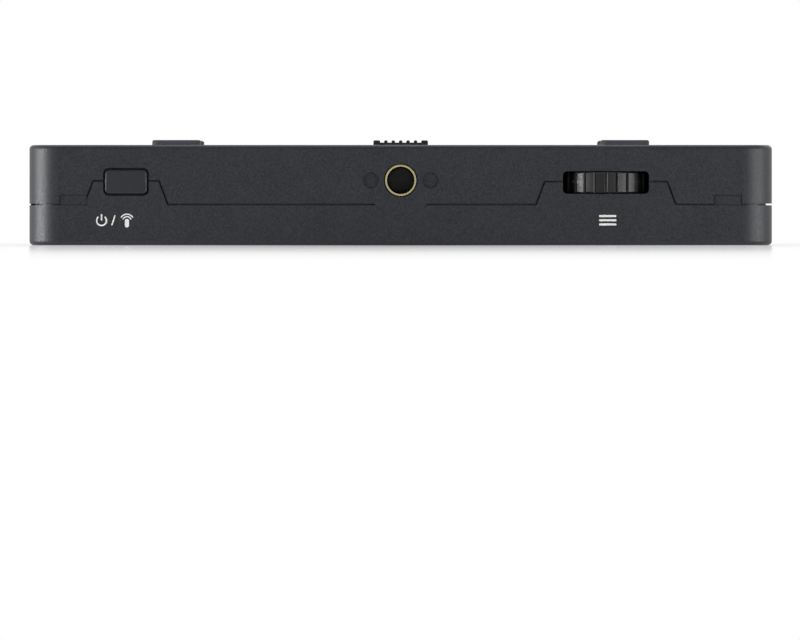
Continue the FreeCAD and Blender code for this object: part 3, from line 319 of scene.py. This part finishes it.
# what all finishes share: a span is the part of a pattern's values that is spread over the full range,
# and ior and specular are Blender's own, which every metal keeps
patternSet = dict(grainDetail=3, grainCrisp=0.6, mottleDetail=2, cloud=0.12, ior=1.5, specular=0.5,
                  mottleSpan=(0.3, 0.7), toneSpan=(0.32, 0.68), roughSpan=(0.35, 0.65),
                  ringWobble=0.3, trackWobble=0.2, trackSpan=(0.55, 0.75), trackTone=0.4, rimSoft=0.01)
waveLength = math.pi / 10  # of a wave texture at scale 1


def makeFinish(look):
    material = bpy.data.materials.new(look["name"])
    tree = emptyTree(material)
    place = addNode(tree, "TexCoord", {}).outputs["Object"]
    drawn = addNode(tree, "Mapping", {"Scale": look.get("stretch", (1, 1, 1))}, {"Vector": place}).outputs[0]
    grain = addNode(tree, "TexNoise", {"Scale": 1 / (look["grain"] * mm), "Detail": patternSet["grainDetail"],
                                       "Roughness": patternSet["grainCrisp"]}, {"Vector": drawn}).outputs[0]
    mottle = addNode(tree, "TexNoise", {"Scale": 1 / (look["mottle"] * mm),
                                        "Detail": patternSet["mottleDetail"]}, {"Vector": place}).outputs[0]
    cloud = look.get("cloud", patternSet["cloud"])
    least, most = patternSet["mottleSpan"]
    tone = addNode(tree, "MapRange", {"From Min": least, "From Max": most, "To Min": -cloud, "To Max": cloud},
                   {"Value": mottle}).outputs[0]
    tone = addNode(tree, "Math", {"operation": "ADD"}, {0: grain, 1: tone}).outputs[0]
    height = grain
    if "rings" in look:  # lathe rings about the threads' axis
        centred = addNode(tree, "Mapping", {"Location": (0, 0, -threadHeight * mm), "Scale": (1, 0, 1)},
                          {"Vector": place}).outputs[0]
        height = addNode(tree, "TexWave", {"wave_type": "RINGS", "rings_direction": "Y",
                                           "Distortion": patternSet["ringWobble"],
                                           "Scale": waveLength / (look["rings"] * mm)},
                         {"Vector": centred}).outputs["Fac"]
    if "bands" in look:  # copper tracks, seen as raised paler lines
        height = addNode(tree, "TexWave", {"bands_direction": "X", "wave_profile": "SIN",
                                           "Distortion": patternSet["trackWobble"],
                                           "Scale": waveLength / (look["bands"] * mm)},
                         {"Vector": place}).outputs["Fac"]
        least, most = patternSet["trackSpan"]
        lines = addNode(tree, "MapRange", {"From Min": least, "From Max": most,
                                           "To Min": 0, "To Max": patternSet["trackTone"]},
                        {"Value": height}).outputs[0]
        tone = addNode(tree, "Math", {"operation": "ADD"}, {0: tone, 1: lines}).outputs[0]
    ramp = addNode(tree, "ValToRGB", {}, {"Fac": tone})
    for stop, position, shade in zip(ramp.color_ramp.elements, patternSet["toneSpan"], ("dark", "light")):
        stop.position = position
        stop.color = hexColour(look[shade])
    colour = ramp.outputs[0]
    if "rim" in look:  # the turned band, with a slightly soft edge on each side
        inner, outer = (radius * mm for radius in look["rim"])
        soft = patternSet["rimSoft"] * mm
        away = addNode(tree, "VectorMath", {"operation": "LENGTH"}, {0: centred}).outputs["Value"]
        away = addNode(tree, "Math", {"operation": "SUBTRACT", 1: (inner + outer) / 2}, {0: away}).outputs[0]
        away = addNode(tree, "Math", {"operation": "ABSOLUTE"}, {0: away}).outputs[0]
        turned = addNode(tree, "MapRange", {"From Min": (outer - inner) / 2 - soft,
                                            "From Max": (outer - inner) / 2 + soft, "To Min": 1, "To Max": 0},
                         {"Value": away}).outputs[0]
        # painted shade: black inside the band darkens the deep hole, black outside it the groove round the
        # collar
        colour = addNode(tree, "Mix", {"data_type": "RGBA", 6: hexColour(look["shadeBlack"])},
                         {0: turned, 7: colour}).outputs[2]  # 6 and 7 in, 2 out are its colour sockets
    least, most = patternSet["roughSpan"]
    rough = addNode(tree, "MapRange", {"From Min": least, "From Max": most, "To Min": look["rough"][0],
                                       "To Max": look["rough"][1]}, {"Value": grain}).outputs[0]
    surface = addNode(tree, "BsdfPrincipled", {
        "Metallic": look.get("metallic", 0), "IOR": look.get("ior", patternSet["ior"]),
        "Specular IOR Level": look.get("specular", patternSet["specular"]),
        "Transmission Weight": look.get("transmission", 0)}, {"Base Color": colour, "Roughness": rough})
    if look["bump"]:
        relief = addNode(tree, "Bump", {"Strength": 1, "Distance": look["bump"] * mm}, {"Height": height})
        tree.links.new(relief.outputs[0], surface.inputs["Normal"])
    addNode(tree, "OutputMaterial", {}, {"Surface": surface.outputs[0]})
    return material


made = {slot: makeFinish(look) for slot, look in finishes.items()}
for part in frame["record"]["subparts"]:
    node = nodes[part["node"]]
    node.data.materials.clear()
    node.data.materials.append(made[part["material_slot"]])
print("finishes made:", len(made))


def joinPieces(parts, name):
    deselectAll()
    for part in parts:
        part.select_set(True)
    bpy.context.view_layer.objects.active = parts[0]
    if len(parts) > 1:
        bpy.ops.object.join()
    piece = bpy.context.object
    piece.name = piece.data.name = name
    return piece


def applyPlace(piece):
    pickPiece(piece)
    bpy.ops.object.transform_apply(location=True, rotation=True, scale=True)


def applyModifiers(piece):
    bpy.context.view_layer.objects.active = piece
    for modifier in list(piece.modifiers):
        bpy.ops.object.modifier_apply(modifier=modifier.name)


def copyPiece(piece, shift):
    pickPiece(piece)
    bpy.ops.object.duplicate(linked=False)
    bpy.ops.transform.translate(value=shift)
    twin = bpy.context.object
    applyPlace(twin)
    return twin


def dressPiece(piece, body, slot):
    piece.data.materials.clear()
    piece.data.materials.append(made[slot])
    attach(piece, body)


# white signs printed on both long edges, drawn flat in mm and then turned onto the edge
signSet = dict(thick=0.03, sunk=0.02, merge=0.001, cornerSteps=5, ringSides=72)


def flatBar(width, height, corner, across=0, up=0, tilt=0):
    deselectAll()
    bpy.ops.mesh.primitive_plane_add(size=mm, location=(across * mm, up * mm, 0),
                                     rotation=(0, 0, math.radians(tilt)))
    bar = bpy.context.object
    bar.scale = (width, height, 1)
    applyPlace(bar)
    startEdit()
    bpy.ops.mesh.bevel(offset=corner * mm, affect="VERTICES", segments=signSet["cornerSteps"])
    endEdit()
    return bar


def flatRing(radius, line, up=0, keepFrom=0, keepTo=360):
    deselectAll()
    bpy.ops.mesh.primitive_circle_add(vertices=signSet["ringSides"], radius=radius * mm, fill_type="NGON",
                                      location=(0, up * mm, 0))
    ring = bpy.context.object
    startEdit()
    bpy.ops.mesh.inset(thickness=line * mm)
    bpy.ops.mesh.delete(type="FACE")  # the inner disc is what inset leaves selected
    endEdit()

    def cutAway(face):
        angle = math.degrees(math.atan2(face.center.y, face.center.x)) % 360
        return not keepFrom <= angle <= keepTo

    editFaces(ring, cutAway)
    bpy.ops.mesh.delete(type="FACE")
    endEdit()
    applyPlace(ring)
    return ring


def flatCard(width, height, corner, line, clip):
    card = flatBar(width, height, corner)
    startEdit()
    bpy.ops.mesh.bisect(plane_co=((width / 2 - clip / 2) * mm, (height / 2 - clip / 2) * mm, 0),
                        plane_no=(1, 1, 0), clear_outer=True)
    bpy.ops.mesh.select_all(action="SELECT")
    bpy.ops.mesh.inset(thickness=line * mm)
    bpy.ops.mesh.delete(type="FACE")
    endEdit()
    return card


def printSign(name, strokes, across, height, side):
    sign = joinPieces(strokes, name)
    startEdit()
    bpy.ops.mesh.remove_doubles(threshold=signSet["merge"] * mm)
    bpy.ops.mesh.extrude_region_move(
        TRANSFORM_OT_translate={"value": (0, 0, (signSet["thick"] + signSet["sunk"]) * mm)})
    turnOutwards()
    sign.rotation_euler = (math.radians(-90 * side), 0, 0)
    sign.location = (across * mm, side * (caseEdge - signSet["sunk"]) * mm, height * mm)
    applyPlace(sign)
    dressPiece(sign, "case", "print_ink")


# side -1 is the top edge, 1 the bottom edge
signs = {
    "powerSign": dict(across=-60.76, height=5.02, side=-1, strokes=[
        (flatRing, dict(radius=1.14, line=0.29, keepFrom=128)),
        (flatRing, dict(radius=1.14, line=0.29, keepTo=52)),
        (flatBar, dict(width=0.29, height=1.3, corner=0.08, up=0.68)),
        (flatBar, dict(width=0.26, height=2.1, corner=0.05, across=2.42, up=0.08, tilt=-18))]),
    "touchSign": dict(across=-55.6, height=4.85, side=-1, strokes=[
        (flatBar, dict(width=0.86, height=1.75, corner=0.42, up=-0.35)),
        (flatRing, dict(radius=1.0, line=0.24, up=0.1, keepFrom=18, keepTo=162)),
        (flatRing, dict(radius=1.5, line=0.24, up=0.1, keepFrom=28, keepTo=152))]),
    "menuSign": dict(across=42.05, height=5.1, side=-1, strokes=[
        (flatBar, dict(width=3.5, height=0.42, corner=0.12, up=up)) for up in (-0.85, 0, 0.85)]),
    "cardSign": dict(across=-46.1, height=5.0, side=1, strokes=[
        (flatCard, dict(width=2.3, height=2.7, corner=0.05, line=0.28, clip=0.6)),
        *((flatBar, dict(width=0.26, height=0.8, corner=0.06, across=x, up=0.45)) for x in (-0.5, 0, 0.5))]),
    "powerInSign": dict(across=-19.7, height=5.0, side=1, strokes=[
        (flatBar, dict(width=3.4, height=0.36, corner=0.06, up=0.4)),
        *((flatBar, dict(width=0.86, height=0.36, corner=0.06, across=x, up=-0.4))
          for x in (-1.27, 0, 1.27))]),
    "headphoneSign": dict(across=19.1, height=4.9, side=1, strokes=[
        (flatRing, dict(radius=1.75, line=0.5, keepTo=180)),
        *((flatBar, dict(width=0.5, height=0.98, corner=0.08, across=x, up=-0.47)) for x in (-1.5, 1.5)),
        *((flatBar, dict(width=0.92, height=1.75, corner=0.44, across=x, up=-0.95)) for x in (-0.78, 0.78))]),
}
for name, sign in signs.items():
    strokes = [draw(**stroke) for draw, stroke in sign["strokes"]]
    printSign(name, strokes, sign["across"], sign["height"], sign["side"])
print("signs printed")


def windRound(piece, turns, stepsPerTurn, rise):  # the piece is a bare outline, which climbs round Z
    winding = piece.modifiers.new("winding", "SCREW")
    winding.axis = "Z"
    winding.angle = 2 * math.pi * turns
    winding.screw_offset = rise
    winding.steps = winding.render_steps = int(stepsPerTurn * turns)
    applyModifiers(piece)
    startEdit()
    bpy.ops.mesh.fill_holes(sides=0)  # 0 fills the ends whatever their number of sides
    turnOutwards()


# quarter-inch camera thread, 20 turns to the inch, wound in the smooth holes of the brass inserts;
# the thread is black as painted shade of the deep hole, and only the turned rim round it is bright
threadSet = dict(radius=2.66, depth=0.2, halfWidth=0.47, sides=4, pitch=1.27, turns=3.1, stepsPerTurn=40,
                 firstDepth=1.6)


def windThread(name, side):
    deselectAll()
    bpy.ops.mesh.primitive_circle_add(
        vertices=threadSet["sides"], radius=mm, fill_type="NOTHING",
        location=(threadSet["radius"] * mm, 0, 0), rotation=(math.radians(90), 0, 0))
    thread = bpy.context.object
    thread.scale = (threadSet["depth"], threadSet["halfWidth"], 1)
    applyPlace(thread)
    windRound(thread, threadSet["turns"], threadSet["stepsPerTurn"],
              threadSet["pitch"] * threadSet["turns"] * mm)
    thread.rotation_euler = (math.radians(90 * side), 0, 0)
    thread.location = (0, side * (caseEdge - threadSet["firstDepth"]) * mm, threadHeight * mm)
    applyPlace(thread)
    # black, painted shade of the deep hole
    dressPiece(joinPieces([thread], name), "case", "black_screw")


windThread("threadTop", -1)
windThread("threadBottom", 1)
print("threads wound")

# the latch's coil spring, of round wire, wound once at its resting length though the real one shortens as the
# latch goes in; wire is its radius
springSet = dict(wire=0.2, sides=12, turns=6, stepsPerTurn=28, travel=4.2, slack=0.05, smoothTo=40)

low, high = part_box("latch_spring")
middle = (low + high) / 2
wire = springSet["wire"] * mm
height = high.z - low.z
deselectAll()
bpy.ops.mesh.primitive_circle_add(
    vertices=springSet["sides"], radius=wire, fill_type="NOTHING",
    location=((high.x - low.x) / 2 - wire, 0, 0), rotation=(math.radians(90), 0, 0))
coil = bpy.context.object
applyPlace(coil)
windRound(coil, springSet["turns"], springSet["stepsPerTurn"], height - 2 * wire)
coil.location = (middle.x, middle.y, low.z + wire)
applyPlace(coil)
coil = joinPieces([coil], "latchCoil")
bpy.ops.object.shade_smooth_by_angle(angle=math.radians(springSet["smoothTo"]))
dressPiece(coil, "case", "spring_steel")
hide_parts("latch_spring")
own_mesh(coil)
print("spring wound")

# pan-head screws with a cross recess that narrows towards its floor, in the counterbores of the back
screwSet = dict(x=71.0, y=41.8, sides=48, headHeight=1.3, headRound=0.35, roundSteps=4, shank=1.0,
                crossLong=2.1, crossWide=0.46, crossDeep=0.8, crossTaper=0.55, near=0.01, smoothTo=35)


def facesDown(face):
    return face.normal.z < -0.9


low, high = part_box("case_screws")
headTop = high.z
headHeight = screwSet["headHeight"] * mm
headRadius = high.x - screwSet["x"] * mm
deselectAll()
bpy.ops.mesh.primitive_cylinder_add(vertices=screwSet["sides"], radius=headRadius, depth=headHeight,
                                    location=(0, 0, headTop - headHeight / 2))
screw = bpy.context.object
applyPlace(screw)
editFaces(screw, facesDown)
bpy.ops.mesh.inset(thickness=headRadius - screwSet["shank"] * mm)
bpy.ops.mesh.extrude_region_move(TRANSFORM_OT_translate={"value": (0, 0, low.z - headTop + headHeight)})
endEdit()
for edge in screw.data.edges:  # the rim of the head's top
    edge.select = all(screw.data.vertices[v].co.z > headTop - screwSet["near"] * mm for v in edge.vertices)
bpy.ops.object.mode_set(mode="EDIT")
bpy.ops.mesh.select_mode(type="EDGE")
bpy.ops.mesh.bevel(offset=screwSet["headRound"] * mm, segments=screwSet["roundSteps"])
endEdit()
blades = []
for turn in (0, 90):
    deselectAll()
    bpy.ops.mesh.primitive_cube_add(size=mm, location=(0, 0, headTop), rotation=(0, 0, math.radians(turn)))
    blade = bpy.context.object
    blade.scale = (screwSet["crossLong"], screwSet["crossWide"], 2 * screwSet["crossDeep"])
    applyPlace(blade)
    editFaces(blade, facesDown)
    bpy.ops.transform.resize(value=(screwSet["crossTaper"], screwSet["crossTaper"], 1))
    endEdit()
    blades.append(blade)
blades = joinPieces(blades, "crossBlades")
recess = screw.modifiers.new("recess", "BOOLEAN")
recess.operation = "DIFFERENCE"
recess.object = blades
recess.use_self = True
applyModifiers(screw)
bpy.data.objects.remove(blades)
screws = [copyPiece(screw, (x * mm, y * mm, 0)) for x in (-screwSet["x"], screwSet["x"])
          for y in (-screwSet["y"], screwSet["y"])]
bpy.data.objects.remove(screw)
screws = joinPieces(screws, "crossScrews")
bpy.ops.object.shade_smooth_by_angle(angle=math.radians(screwSet["smoothTo"]))
dressPiece(screws, "case", "black_screw")
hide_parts("case_screws")
print("screws cut")

# gold contact strips, more of them on the upper face of each video socket's tongue than on the lower
stripSet = dict(upper=10, lower=9, pitch=1.0, wide=0.5, long=4.6, thick=0.08, fromTip=0.25,
                rim=0.06, crown=0.02, tongueHalf=0.5)


def layStrips(name, node):
    low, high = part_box(node)
    middleZ = (low.z + high.z) / 2
    middleY = (low.y + high.y) / 2
    deselectAll()
    bpy.ops.mesh.primitive_plane_add(
        size=mm, location=(low.x + (stripSet["fromTip"] + stripSet["long"] / 2) * mm, 0, 0))
    strip = bpy.context.object
    strip.scale = (stripSet["long"], stripSet["wide"], 1)
    applyPlace(strip)
    startEdit()
    bpy.ops.mesh.extrude_region_move(TRANSFORM_OT_translate={"value": (0, 0, stripSet["thick"] * mm)})
    bpy.ops.mesh.inset(thickness=stripSet["rim"] * mm)  # the face that extrude leaves selected
    bpy.ops.transform.translate(value=(0, 0, stripSet["crown"] * mm))
    turnOutwards()
    rows = ((stripSet["upper"], stripSet["tongueHalf"]),
            (stripSet["lower"], -stripSet["tongueHalf"] - stripSet["thick"]))
    strips = []
    for count, up in rows:
        for i in range(count):
            y = middleY + (i - (count - 1) / 2) * stripSet["pitch"] * mm
            strips.append(copyPiece(strip, (0, y, middleZ + up * mm)))
    bpy.data.objects.remove(strip)
    dressPiece(joinPieces(strips, name), "case", "gold_contact")


layStrips("videoInStrips", "hdmi_in_insulator")
layStrips("videoOutStrips", "hdmi_out_insulator")
print("contact strips laid")
